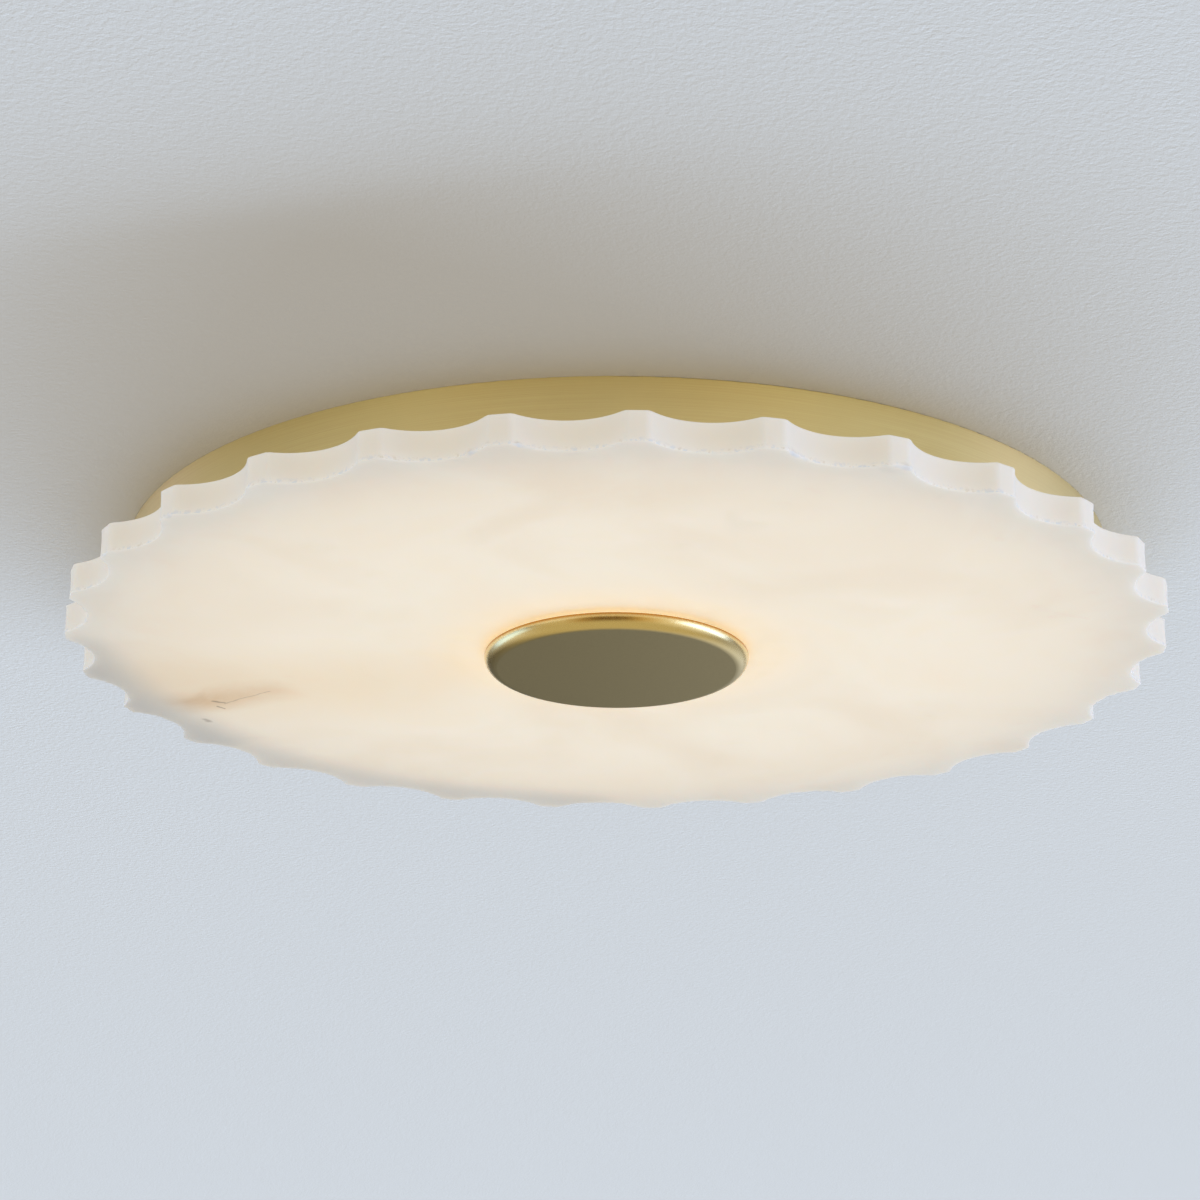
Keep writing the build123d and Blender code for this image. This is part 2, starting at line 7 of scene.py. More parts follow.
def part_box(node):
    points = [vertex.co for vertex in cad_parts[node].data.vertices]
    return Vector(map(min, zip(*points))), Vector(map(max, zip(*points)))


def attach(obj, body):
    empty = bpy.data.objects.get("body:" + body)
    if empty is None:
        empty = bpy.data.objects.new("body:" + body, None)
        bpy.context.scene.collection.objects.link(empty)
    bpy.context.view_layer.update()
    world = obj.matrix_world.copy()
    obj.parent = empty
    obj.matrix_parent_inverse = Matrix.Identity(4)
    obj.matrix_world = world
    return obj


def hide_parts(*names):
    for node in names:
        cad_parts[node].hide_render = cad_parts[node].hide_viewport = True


# Flush mount ceiling light: fluted alabaster under a brushed-brass pan, held by a brass cap.
# Metres, in the part's own frame: the ceiling is z = 0 and the light hangs below it.

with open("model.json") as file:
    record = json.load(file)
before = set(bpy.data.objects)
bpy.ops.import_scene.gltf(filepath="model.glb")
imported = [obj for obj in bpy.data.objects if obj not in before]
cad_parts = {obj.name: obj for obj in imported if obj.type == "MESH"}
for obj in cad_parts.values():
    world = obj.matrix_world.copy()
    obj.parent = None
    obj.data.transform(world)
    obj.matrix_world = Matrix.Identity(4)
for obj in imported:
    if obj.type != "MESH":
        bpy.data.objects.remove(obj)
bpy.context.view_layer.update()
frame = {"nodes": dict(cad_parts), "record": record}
cadNodes = frame["nodes"]
mm = 0.001
print("frame loaded:", len(cadNodes), "nodes")


# helpers

def linear(hexColour):
    channels = [int(hexColour[i:i + 2], 16) / 255 for i in (0, 2, 4)]
    return [c / 12.92 if c <= 0.04045 else ((c + 0.055) / 1.055) ** 2.4 for c in channels] + [1.0]


def addNode(tree, kind, inputs=None, stops=None, **settings):
    node = tree.nodes.new(kind)
    for name, value in settings.items():
        setattr(node, name, value)
    for socket, value in (inputs or {}).items():
        if isinstance(value, bpy.types.NodeSocket):
            tree.links.new(value, node.inputs[socket])
        else:
            node.inputs[socket].default_value = value
    if stops:  # a colour ramp's places and tones
        elements = node.color_ramp.elements
        while len(elements) < len(stops):
            elements.new(0.5)
        for element, (position, colour) in zip(elements, stops):
            element.position = position
            element.color = linear(colour)
    return node


def newMaterial(name, **shaderInputs):
    material = bpy.data.materials.new(name)
    material.use_nodes = True
    shader = material.node_tree.nodes["Principled BSDF"]
    for socket, value in shaderInputs.items():
        shader.inputs[socket.replace("_", " ")].default_value = value
    return material, material.node_tree, shader


def addMesh(name, points, faces, material):
    mesh = bpy.data.meshes.new(name)
    mesh.from_pydata(points, [], faces)
    mesh.shade_smooth()
    mesh.materials.append(material)
    piece = bpy.data.objects.new(name, mesh)
    bpy.context.scene.collection.objects.link(piece)
    return piece


def closedRows(rowCount, columnCount):
    faces = []
    for row in range(rowCount):
        below = (row + 1) % rowCount
        for column in range(columnCount):
            beside = (column + 1) % columnCount
            faces.append((row * columnCount + column, below * columnCount + column,
                          below * columnCount + beside, row * columnCount + beside))
    return faces


def axisRadius(node):
    return max(math.hypot(v.co.x, v.co.y) for v in cadNodes[node].data.vertices)


# stage: a plain ceiling with a hole for its box, a plain pale floor, soft light

stage = {"reach": 4.5, "hole": 0.25, "level": -1.0 * mm, "colour": "c7c5c0", "floorReach": 40.0,
         "floorLevel": -2.75, "floorColour": "e4e2de", "rollerGrain": 2.6 * mm, "grainHeight": 0.26 * mm,
         "columns": 96}


def rolledPaint(name, colour):  # roller-painted plaster, seen from its painted side only
    material, tree, shader = newMaterial(name, Base_Color=linear(colour), Roughness=0.85)
    coords = addNode(tree, "ShaderNodeTexCoord")
    grain = addNode(tree, "ShaderNodeTexNoise", {"Vector": coords.outputs["Object"],
                    "Scale": 1 / stage["rollerGrain"], "Detail": 3.0, "Roughness": 0.6})
    bump = addNode(tree, "ShaderNodeBump", {"Height": grain.outputs["Fac"], "Strength": 1.0,
                   "Distance": stage["grainHeight"]})
    tree.links.new(bump.outputs["Normal"], shader.inputs["Normal"])
    facing = addNode(tree, "ShaderNodeNewGeometry")
    clear = addNode(tree, "ShaderNodeBsdfTransparent")
    oneSided = addNode(tree, "ShaderNodeMixShader", {0: facing.outputs["Backfacing"],
                       1: shader.outputs["BSDF"], 2: clear.outputs["BSDF"]})
    tree.links.new(oneSided.outputs["Shader"], tree.nodes["Material Output"].inputs["Surface"])
    return material


def stagePlane(name, level, reaches, colour):  # a ring when it has two reaches, else a disc that faces up
    columns = stage["columns"]
    turns = [2 * math.pi * c / columns for c in range(columns)]
    points = [(reach * math.cos(t), reach * math.sin(t), level) for reach in reaches for t in turns]
    faces = [range(columns)]
    if len(reaches) == 2:
        faces = [(c, (c + 1) % columns, columns + (c + 1) % columns, columns + c) for c in range(columns)]
    plane = addMesh(name, points, faces, rolledPaint(name + "Paint", colour))
    plane.visible_diffuse = False  # the light's back and rim stay lit in views from above
    plane.visible_shadow = False
    return plane


ceiling = stagePlane("ceiling", stage["level"], (stage["hole"], stage["reach"]), stage["colour"])
floor = stagePlane("floor", stage["floorLevel"], (stage["floorReach"],), stage["floorColour"])
floor.visible_glossy = False

softboxes = {  # the side windows and the cards show in the brass, the other two only light
    "farWindow": {"place": (2.0, 11.0, -5.5), "size": (8.0, 5.0), "radiance": 1.1, "colour": "80d0ff",
                  "inBrass": False, "only": [], "spares": [ceiling]},
    "ceilingWash": {"place": (12.0, 36.0, -6.0), "size": (70.0, 8.5), "radiance": 54.0,
                    "colour": "bedaff", "inBrass": False, "only": [ceiling], "spares": []},
    "leftWindow": {"place": (-2.6, 0.75, -0.6), "size": (2.1, 1.15), "radiance": 1.6, "colour": "8cc0ff",
                   "inBrass": True, "only": [], "spares": [ceiling, cadNodes["pan"]]},
    "rightWindow": {"place": (2.7, -0.45, -0.6), "size": (2.6, 1.15), "radiance": 3.05,
                    "colour": "a8c6ff", "inBrass": True, "only": [],
                    "spares": [ceiling, cadNodes["pan"]]},
    "frontCard": {"place": (0.0, -2.7, -0.6), "size": (6.0, 1.15), "radiance": 0.35, "colour": "fbf5da",
                  "inBrass": True, "only": [cadNodes["pan"]], "spares": []},
    "rightCard": {"place": (2.7, 0.3, -0.6), "size": (1.3, 1.15), "radiance": 2.3, "colour": "ceceff",
                  "inBrass": True, "only": [cadNodes["pan"]], "spares": []},
    "leftCard": {"place": (-2.45, 1.15, -0.6), "size": (0.8, 1.15), "radiance": 1.9, "colour": "b9b2ff",
                 "inBrass": True, "only": [cadNodes["pan"]], "spares": []},
}
lightAim = Vector((0.0, 0.0, -0.03))
for name, box in softboxes.items():
    lamp = bpy.data.lights.new(name, "AREA")
    lamp.shape = "RECTANGLE"
    lamp.size, lamp.size_y = box["size"]
    lamp.energy = box["radiance"] * math.pi * box["size"][0] * box["size"][1]
    lamp.color = linear(box["colour"])[:3]
    holder = bpy.data.objects.new(name, lamp)
    holder.location = box["place"]
    holder.rotation_euler = (lightAim - Vector(box["place"])).to_track_quat("-Z", "Y").to_euler()
    holder.visible_camera = False
    holder.visible_glossy = box["inBrass"]
    bpy.context.scene.collection.objects.link(holder)
    flag = bpy.data.collections.new(name + "Flag")  # keeps the lamp off pieces that it would wash out
    holder.light_linking.receiver_collection = flag
    state = "INCLUDE" if box["only"] else "EXCLUDE"
    for index, piece in enumerate(box["only"] or box["spares"]):
        flag.objects.link(piece)
        flag.collection_objects[index].light_linking.link_state = state

# what the brass mirrors: a low room, by bearing from straight behind the viewer, positive to the right
room = {"around": [(-180, "595f64"), (-150, "565248"), (-110, "e8e4da"), (-80, "bcac80"), (-46, "d3c6a0"),
                   (-34, "b79250"), (-20, "664919"), (8, "664919"), (20, "c89f4e"), (44, "ecdfba"),
                   (80, "f6f5f2"), (115, "98948a"), (155, "e6eefa"), (180, "595f64")],
        "skyline": [(-180, "5a6166"), (-150, "5a5448"), (-115, "b4a890"), (-85, "30241a"),
                    (-60, "fffaf0"), (-48, "fffdf8"), (-25, "ecd4a4"), (0, "ecdab0"), (25, "f6e2bc"),
                    (45, "fffdf8"), (58, "fffaf0"), (85, "bcae94"), (115, "463e32"), (155, "b6b2a6"),
                    (180, "5a6166")],
        "below": "c6b991", "plain": "dcd8d2",
        "skylineFrom": -0.2, "skylineTo": -0.03, "belowFrom": -0.5, "belowTo": -0.87}  # -1 is down
world = bpy.data.worlds.new("softRoom")
world.use_nodes = True
world.cycles.sampling_method = "NONE"  # only real rays reach it, so its two tones stay apart
worldTree = world.node_tree
looking = addNode(worldTree, "ShaderNodeSeparateXYZ",
                  {"Vector": addNode(worldTree, "ShaderNodeTexCoord").outputs["Generated"]}).outputs
towards = addNode(worldTree, "ShaderNodeMath", {0: looking["Y"], 1: -1.0},
                  operation="MULTIPLY").outputs["Value"]
bearing = addNode(worldTree, "ShaderNodeMath", {0: looking["X"], 1: towards},
                  operation="ARCTAN2").outputs["Value"]
turn = addNode(worldTree, "ShaderNodeMapRange", {"Value": bearing, "From Min": -math.pi,
               "From Max": math.pi})
lower, upper = (addNode(worldTree, "ShaderNodeValToRGB", {"Fac": turn.outputs["Result"]},
                        stops=[((a + 180) / 360, c) for a, c in room[band]]).outputs["Color"]
                for band in ("around", "skyline"))
level = addNode(worldTree, "ShaderNodeMapRange", {"Value": looking["Z"],
                "From Min": room["skylineFrom"], "From Max": room["skylineTo"]},
                interpolation_type="SMOOTHSTEP").outputs["Result"]
around = addNode(worldTree, "ShaderNodeMix", {"Factor": level, "A": lower, "B": upper},
                 data_type="RGBA").outputs["Result"]
down = addNode(worldTree, "ShaderNodeMapRange", {"Value": looking["Z"],
               "From Min": room["belowFrom"], "From Max": room["belowTo"]},
               interpolation_type="SMOOTHSTEP").outputs["Result"]
mirrored = addNode(worldTree, "ShaderNodeMix", {"Factor": down, "A": around, "B": linear(room["below"])},
                   data_type="RGBA")
path = addNode(worldTree, "ShaderNodeLightPath").outputs["Is Glossy Ray"]
roomTone = addNode(worldTree, "ShaderNodeMix", {"Factor": path, "A": linear(room["plain"]),
                   "B": mirrored.outputs["Result"]}, data_type="RGBA").outputs["Result"]
worldTree.links.new(roomTone, worldTree.nodes["Background"].inputs["Color"])
bpy.context.scene.world = world
bpy.context.scene.view_settings.view_transform = "Standard"
print("stage and light set")


# camera, below the light and looking up at it

cameraView = {"place": (-0.0229, -1.7483, -0.6557), "lens": 101.2, "sensor": 36.0,
              "pitch": 20.06, "yaw": 0.45, "roll": 0.2, "farthest": 50.0}


def placeCamera():
    pitch, yaw, roll = (math.radians(cameraView[k]) for k in ("pitch", "yaw", "roll"))
    forward = Vector((math.sin(yaw) * math.cos(pitch), math.cos(yaw) * math.cos(pitch), math.sin(pitch)))
    level = forward.cross(Vector((0, 0, 1))).normalized()
    upright = level.cross(forward)
    right = level * math.cos(roll) + upright * math.sin(roll)
    up = upright * math.cos(roll) - level * math.sin(roll)
    data = bpy.data.cameras.new("viewer")
    data.lens = cameraView["lens"]
    data.sensor_width = cameraView["sensor"]
    data.clip_end = cameraView["farthest"]
    viewer = bpy.data.objects.new("viewer", data)
    turn = Matrix((right, up, -forward)).transposed().to_4x4()
    viewer.matrix_world = Matrix.Translation(cameraView["place"]) @ turn
    bpy.context.scene.collection.objects.link(viewer)
    bpy.context.scene.camera = viewer


placeCamera()
print("camera placed")


# alabaster disc: sawn slab, hand-ground flutes, honed face, with a painted glow for the light from behind

stone = {"flutes": 29, "fluteDepth": 12.0 * mm, "crestLand": 12.0 * mm, "crestBearing": 10.4,
         "softShoulder": 1.2 * mm, "crispShoulder": 0.5 * mm, "topArris": 0.8 * mm, "lowArris": 1.1 * mm,
         "handWobble": 0.35 * mm, "wallBow": 0.35 * mm, "boreRadius": 10.9 * mm, "columnsPerFlute": 36,
         "chipDepth": 1.5 * mm, "chipLength": 7.0 * mm, "chipFloor": 0.28, "chipGain": 3.2,
         "arrisSteps": 4, "wallSteps": 8, "faceInset": 6.0 * mm, "topInset": 2.5 * mm,
         "lowInset": 3.2 * mm, "faceShares": (0.0, 0.3, 0.6, 0.8, 0.9, 0.955),
         "shoulderCut": 0.25, "handStride": 7.3, "handSeed": 1.7, "chipSeed": 3.1,
         "coarseGrain": 0.45, "coarseShare": 0.75, "fineGrain": 1.7, "fineShare": 0.5,
         "soundArris": 0.6, "chippedArris": 0.5, "arrisRise": 0.8}


def fluteRadius(angle, rim):  # distance from the axis to the fluted wall
    halfPitch = math.pi / stone["flutes"]
    valley = rim - stone["fluteDepth"]
    landHalf = stone["crestLand"] / (2 * rim)
    crestReach = rim * math.cos(halfPitch - landHalf)
    centre = (rim ** 2 - valley ** 2) / (2 * (crestReach - valley))
    scoop = centre - valley
    share = (angle - math.radians(stone["crestBearing"])) / (2 * halfPitch)
    fluteIndex = math.floor(share)
    offset = (share - fluteIndex - 0.5) * 2 * halfPitch
    inside = scoop ** 2 - (centre * math.sin(offset)) ** 2
    onCrest = rim + 20 * mm  # beyond the rim, where nothing is cut
    cut = centre * math.cos(offset) - math.sqrt(inside) if inside > 0 else onCrest
    scoopSeed = Vector((fluteIndex * stone["handStride"], stone["handSeed"], 0.0))
    cut += stone["handWobble"] * noise.noise(scoopSeed)  # each scoop is ground by hand
    softness = stone["softShoulder"] if offset > 0 else stone["crispShoulder"]
    gap = max(softness - abs(rim - cut), 0.0) / softness
    return min(rim, cut) - softness * gap * gap * stone["shoulderCut"]


def chipAt(x, y):  # 0 on sound stone, towards 1 in a nick of the lower arris
    place = Vector((x / stone["chipLength"], y / stone["chipLength"], stone["chipSeed"]))
    coarse = noise.noise(place * stone["coarseGrain"]) * stone["coarseShare"]
    fine = noise.noise(place * stone["fineGrain"]) * stone["fineShare"]
    return max(0.0, min(1.0, (coarse + fine - stone["chipFloor"]) * stone["chipGain"]))


def buildStone(material):
    low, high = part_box("alabaster_disc")
    rim = axisRadius("alabaster_disc")
    columns = stone["flutes"] * stone["columnsPerFlute"]
    angles = [2 * math.pi * c / columns for c in range(columns)]
    walls = [fluteRadius(a, rim) for a in angles]
    chips = [chipAt(w * math.cos(a), w * math.sin(a)) for a, w in zip(angles, walls)]
    rings = []  # one row per level: its kind, its share or inset, and its height
    top, bottom = high.z, low.z
    steps, wallSteps = stone["arrisSteps"], stone["wallSteps"]
    turns = [math.pi / 2 * step / steps for step in range(steps + 1)]
    for share in stone["faceShares"]:
        rings.append(("face", share, top))
    for inset in (stone["faceInset"], stone["topInset"]):
        rings.append(("in", inset, top))
    for turn in turns:
        size = stone["topArris"]
        rings.append(("in", size * (1 - math.sin(turn)), top - size * (1 - math.cos(turn))))
    for step in range(1, wallSteps):
        rings.append(("wall", step / wallSteps, top + (bottom - top) * step / wallSteps))
    for turn in turns:
        rings.append(("low", turn, bottom))
    for inset in (stone["lowInset"], stone["faceInset"]):
        rings.append(("in", inset, bottom))
    for share in reversed(stone["faceShares"]):
        rings.append(("face", share, bottom))
    points = []
    chipped = []
    for kind, value, level in rings:
        for angle, wall, chip in zip(angles, walls, chips):
            radius, z, worn = wall, level, 0.0
            if kind == "face":
                radius = stone["boreRadius"] + (wall - stone["faceInset"] - stone["boreRadius"]) * value
            elif kind == "in":
                radius = wall - value
            elif kind == "wall":
                radius = wall - stone["wallBow"] * math.sin(math.pi * value)
            else:
                size = stone["lowArris"] * (stone["soundArris"] + stone["chippedArris"] * chip)
                size += stone["chipDepth"] * chip
                radius = wall - size * (1 - math.cos(value))
                z = level + size * (1 - math.sin(value)) * stone["arrisRise"]
                worn = chip * math.sin(2 * value)
            points.append((radius * math.cos(angle), radius * math.sin(angle), z))
            chipped.append(worn)
    piece = addMesh("fluted_alabaster", points, closedRows(len(rings), columns), material)
    attribute = piece.data.attributes.new("chip", "FLOAT", "POINT")
    attribute.data.foreach_set("value", chipped)
    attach(piece, "shade")
    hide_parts("alabaster_disc")


# Alabaster, sawn and honed: a waxy cream face with drifting clouds and one rusty vein. Its glow is
# painted light, emission painted by distance from the axis for the lamps behind it; they stop at the
# pan's lip, so the rim outside stays cool.
# the grey rim tone is painted shade, the pale wall tone and the glow are painted light
alabasterLook = {"cream": "efe7da", "milk": "f1ece2", "grey": "d9d6d0", "stain": "e6cfa8",
                 "veinHalo": "c8a374", "veinDark": "6a5340", "paintedRimShade": "cbcac6", "chip": "d6dade",
                 "paintedLitWall": "efeae0", "speck": "c4b59c", "cloud": 130 * mm, "wisp": 55 * mm,
                 "mottle": 7 * mm, "chipGrain": 3.0 * mm, "warpGrain": 18 * mm, "warpReach": 8 * mm,
                 "bruiseFrom": 3.0 * mm, "bruiseTo": 0.4 * mm, "mottleHeight": 0.15 * mm,
                 # painted light: emission tones by distance from the axis, brightest just outside the cap
                 # to cancel the shade the cap casts there, fading to none at the rim
                 "glow": [(0.225, "e6d6b4"), (0.245, "c6b490"), (0.262, "b5a587"), (0.30, "a59372"),
                          (0.36, "998d76"), (0.45, "968e7c"), (0.60, "948b7a"), (0.70, "8f8572"),
                          (0.80, "887d69"), (0.86, "7f7462"), (0.90, "70685b"), (0.94, "585651"),
                          (0.98, "42444a")],
                 "glowStrength": 1.0}
markings = {  # paths in millimetres on the lower face, where each has faded, how strongly it shows
    "stain": {"path": [(-262, 60), (-150, 60)], "fade": 95.0, "share": 0.32},
    "veinHalo": {"path": [(-243, 92), (-230, 88), (-212, 76), (-199, 71)], "fade": 26.0},
    "veinLine": {"path": [(-224, 93), (-215, 86), (-203, 75), (-195, 71)], "fade": 0.9, "share": 0.35},
    # painted shade: the left and far rims are painted greyer, and their glow dimmed, for the shade they
    # fall in from below
    "paintedShadeLeftRim": {"path": [(-299, 5), (-282, 75), (-260, 125), (-236, 165)], "fade": 38.0, "share": 0.8},
    "paintedShadeFarRim": {"path": [(-236, 165), (-190, 215), (-120, 260), (-20, 286)], "fade": 34.0,
                 "share": 0.46},
}
veinDashes = {"share": 0.55, "strokes": [((-230, 88), (-224, 91), 1.6), ((-229, 97), (-225, 102), 1.1),
                                         ((-237, 123), (-236, 127), 3.0)]}


def strokeMask(tree, flat, start, end, fade):  # 1 on the line from start to end, 0 where it has faded
    first, last = (Vector((p[0] * mm, p[1] * mm, 0.0)) for p in (start, end))
    along = last - first
    fromFirst = addNode(tree, "ShaderNodeVectorMath", {0: flat, 1: first}, operation="SUBTRACT")
    reach = addNode(tree, "ShaderNodeVectorMath", {0: fromFirst.outputs["Vector"],
                    1: along / along.length_squared}, operation="DOT_PRODUCT")
    held = addNode(tree, "ShaderNodeClamp", {"Value": reach.outputs["Value"]})
    nearest = addNode(tree, "ShaderNodeVectorMath", {0: along, "Scale": held.outputs["Result"]},
                      operation="SCALE")
    away = addNode(tree, "ShaderNodeVectorMath", {0: fromFirst.outputs["Vector"],
                   1: nearest.outputs["Vector"]}, operation="DISTANCE")
    mask = addNode(tree, "ShaderNodeMapRange", {"Value": away.outputs["Value"], "From Max": fade * mm,
                   "To Min": 1.0, "To Max": 0.0}, interpolation_type="SMOOTHSTEP")
    return mask.outputs["Result"]


def largest(tree, masks):
    total = masks[0]
    for mask in masks[1:]:
        total = addNode(tree, "ShaderNodeMath", {0: total, 1: mask},
                        operation="MAXIMUM").outputs["Value"]
    return total


def pathMask(tree, flat, marking):
    strokes = zip(marking["path"], marking["path"][1:])
    return largest(tree, [strokeMask(tree, flat, a, b, marking["fade"]) for a, b in strokes])


def honedAlabaster():
    look = alabasterLook
    material, tree, shader = newMaterial("honedAlabaster", IOR=1.52, Roughness=0.42,
                                         Subsurface_Weight=0.7, Subsurface_Scale=13 * mm,
                                         Subsurface_Radius=(1.0, 0.86, 0.72))
    place = addNode(tree, "ShaderNodeTexCoord").outputs["Object"]
    flat = addNode(tree, "ShaderNodeVectorMath", {0: place, 1: (1, 1, 0)},
                   operation="MULTIPLY").outputs["Vector"]
    distance = addNode(tree, "ShaderNodeVectorMath", {0: flat}, operation="LENGTH").outputs["Value"]
    share = addNode(tree, "ShaderNodeMath", {0: distance, 1: axisRadius("alabaster_disc")},
                    operation="DIVIDE").outputs["Value"]
    cloud = addNode(tree, "ShaderNodeTexNoise", {"Vector": place, "Scale": 1 / look["cloud"],
                    "Detail": 5.0, "Roughness": 0.55, "Distortion": 0.7}).outputs["Fac"]
    wisp = addNode(tree, "ShaderNodeTexNoise", {"Vector": place, "Scale": 1 / look["wisp"], "Detail": 6.0,
                   "Roughness": 0.6, "Distortion": 1.2}).outputs["Fac"]
    mottle = addNode(tree, "ShaderNodeTexNoise", {"Vector": place, "Scale": 1 / look["mottle"],
                     "Detail": 3.0, "Roughness": 0.6}).outputs["Fac"]
    body = addNode(tree, "ShaderNodeValToRGB", {"Fac": cloud}, stops=[(0.32, look["cream"]),
                   (0.52, look["milk"]), (0.68, look["cream"])]).outputs["Color"]
    wispLine = addNode(tree, "ShaderNodeMapRange", {"Value": wisp, "From Min": 0.60, "From Max": 0.78,
                       "To Max": 0.35}, interpolation_type="SMOOTHSTEP").outputs["Result"]
    veined = addNode(tree, "ShaderNodeMix", {"Factor": wispLine, "A": body, "B": linear(look["grey"])},
                     data_type="RGBA")
    warp = addNode(tree, "ShaderNodeTexNoise", {"Vector": flat, "Scale": 1 / look["warpGrain"],
                   "Detail": 3.0})
    shift = addNode(tree, "ShaderNodeVectorMath", {0: warp.outputs["Color"], 1: (0.5, 0.5, 0.5)},
                    operation="SUBTRACT")
    shifted = addNode(tree, "ShaderNodeVectorMath", {0: shift.outputs["Vector"],
                      1: (look["warpReach"], look["warpReach"], 0.0), 2: flat},
                      operation="MULTIPLY_ADD").outputs["Vector"]
    halo, stain, line = (pathMask(tree, shifted, markings[k]) for k in ("veinHalo", "stain", "veinLine"))
    dashes = largest(tree, [strokeMask(tree, shifted, a, b, fade)
                            for a, b, fade in veinDashes["strokes"]])
    patchy = addNode(tree, "ShaderNodeMapRange", {"Value": wisp, "From Min": 0.3, "From Max": 0.7,
                     "To Min": 0.25, "To Max": 0.62}).outputs["Result"]
    haloShare = addNode(tree, "ShaderNodeMath", {0: halo, 1: patchy},
                        operation="MULTIPLY").outputs["Value"]
    stainShare = addNode(tree, "ShaderNodeMath", {0: stain, 1: markings["stain"]["share"]},
                         operation="MULTIPLY").outputs["Value"]
    lineShare = addNode(tree, "ShaderNodeMath", {0: line, 1: markings["veinLine"]["share"]},
                        operation="MULTIPLY").outputs["Value"]
    darkShare = addNode(tree, "ShaderNodeMath", {0: dashes, 1: veinDashes["share"], 2: lineShare},
                        operation="MULTIPLY_ADD", use_clamp=True).outputs["Value"]
    stained = addNode(tree, "ShaderNodeMix", {"Factor": stainShare, "A": veined.outputs["Result"],
                      "B": linear(look["stain"])}, data_type="RGBA")
    rusty = addNode(tree, "ShaderNodeMix", {"Factor": haloShare, "A": stained.outputs["Result"],
                    "B": linear(look["veinHalo"])}, data_type="RGBA")
    struck = addNode(tree, "ShaderNodeMix", {"Factor": darkShare, "A": rusty.outputs["Result"],
                     "B": linear(look["veinDark"])}, data_type="RGBA")
    rims = []
    # painted shade: grey painted along the left and far rims, which also darkens the glow there
    for side in (markings["paintedShadeLeftRim"], markings["paintedShadeFarRim"]):
        rims.append(addNode(tree, "ShaderNodeMath", {0: pathMask(tree, flat, side), 1: side["share"]},
                            operation="MULTIPLY").outputs["Value"])
    paintedRimShade = addNode(tree, "ShaderNodeMix", {"Factor": largest(tree, rims),
                    "A": struck.outputs["Result"], "B": linear(look["paintedRimShade"])}, data_type="RGBA")
    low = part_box("alabaster_disc")[0]
    normal = addNode(tree, "ShaderNodeTexCoord").outputs["Normal"]
    turned = addNode(tree, "ShaderNodeSeparateXYZ", {"Vector": normal})
    upright = addNode(tree, "ShaderNodeMath", {0: turned.outputs["Z"]},
                      operation="ABSOLUTE").outputs["Value"]
    # painted light: the fluted wall, found by its upright normals, is painted whiter and cooler than the
    # face for the light that shows through it
    onWall = addNode(tree, "ShaderNodeMapRange", {"Value": upright, "From Min": 0.75, "From Max": 0.35},
                     interpolation_type="SMOOTHSTEP").outputs["Result"]
    paintedWallBase = addNode(tree, "ShaderNodeMix", {"Factor": onWall, "A": paintedRimShade.outputs["Result"],
                     "B": linear(look["paintedLitWall"])}, data_type="RGBA")
    level = addNode(tree, "ShaderNodeSeparateXYZ", {"Vector": place}).outputs["Z"]
    byArris = addNode(tree, "ShaderNodeMapRange", {"Value": level, "From Min": low.z + look["bruiseFrom"],
                      "From Max": low.z + look["bruiseTo"]}).outputs["Result"]
    edgeShare = addNode(tree, "ShaderNodeMath", {0: byArris, 1: onWall},
                        operation="MULTIPLY").outputs["Value"]
    grains = addNode(tree, "ShaderNodeTexNoise", {"Vector": place, "Scale": 1 / look["chipGrain"],
                     "Detail": 2.0, "Roughness": 0.6}).outputs["Fac"]
    bruise = addNode(tree, "ShaderNodeMapRange", {"Value": grains, "From Min": 0.52, "From Max": 0.62,
                     "To Max": 0.9}).outputs["Result"]
    grit = addNode(tree, "ShaderNodeMapRange", {"Value": grains, "From Min": 0.42, "From Max": 0.30,
                   "To Max": 0.5}).outputs["Result"]
    bruised = addNode(tree, "ShaderNodeMath", {0: bruise, 1: edgeShare},
                      operation="MULTIPLY").outputs["Value"]
    gritted = addNode(tree, "ShaderNodeMath", {0: grit, 1: edgeShare},
                      operation="MULTIPLY").outputs["Value"]
    chip = addNode(tree, "ShaderNodeAttribute", attribute_name="chip").outputs["Fac"]
    pale = addNode(tree, "ShaderNodeMath", {0: chip, 1: bruised}, operation="MAXIMUM").outputs["Value"]
    specked = addNode(tree, "ShaderNodeMix", {"Factor": gritted, "A": paintedWallBase.outputs["Result"],
                      "B": linear(look["speck"])}, data_type="RGBA")
    nicked = addNode(tree, "ShaderNodeMix", {"Factor": pale, "A": specked.outputs["Result"],
                     "B": linear(look["chip"])}, data_type="RGBA")
    tree.links.new(nicked.outputs["Result"], shader.inputs["Base Color"])
    # painted light: the glow is emission painted by distance from the axis, not light from a lamp
    glow = addNode(tree, "ShaderNodeValToRGB", {"Fac": share}, stops=look["glow"]).outputs["Color"]
    drift = addNode(tree, "ShaderNodeMapRange", {"Value": cloud, "From Min": 0.3, "From Max": 0.7,
                    "To Min": 0.92, "To Max": 1.06}).outputs["Result"]
    drifted = addNode(tree, "ShaderNodeVectorMath", {0: glow, "Scale": drift}, operation="SCALE")
    filtered = addNode(tree, "ShaderNodeMix", {"Factor": 1.0, "A": drifted.outputs["Vector"],
                       "B": paintedRimShade.outputs["Result"]}, data_type="RGBA", blend_type="MULTIPLY")
    tree.links.new(filtered.outputs["Result"], shader.inputs["Emission Color"])
    shader.inputs["Emission Strength"].default_value = look["glowStrength"]
    worn = addNode(tree, "ShaderNodeMapRange", {"Value": mottle, "To Min": 0.36, "To Max": 0.52})
    tree.links.new(worn.outputs["Result"], shader.inputs["Roughness"])
    bump = addNode(tree, "ShaderNodeBump", {"Height": mottle, "Strength": 0.25,
                   "Distance": look["mottleHeight"]})
    tree.links.new(bump.outputs["Normal"], shader.inputs["Normal"])
    return material


buildStone(honedAlabaster())
print("alabaster disc built")
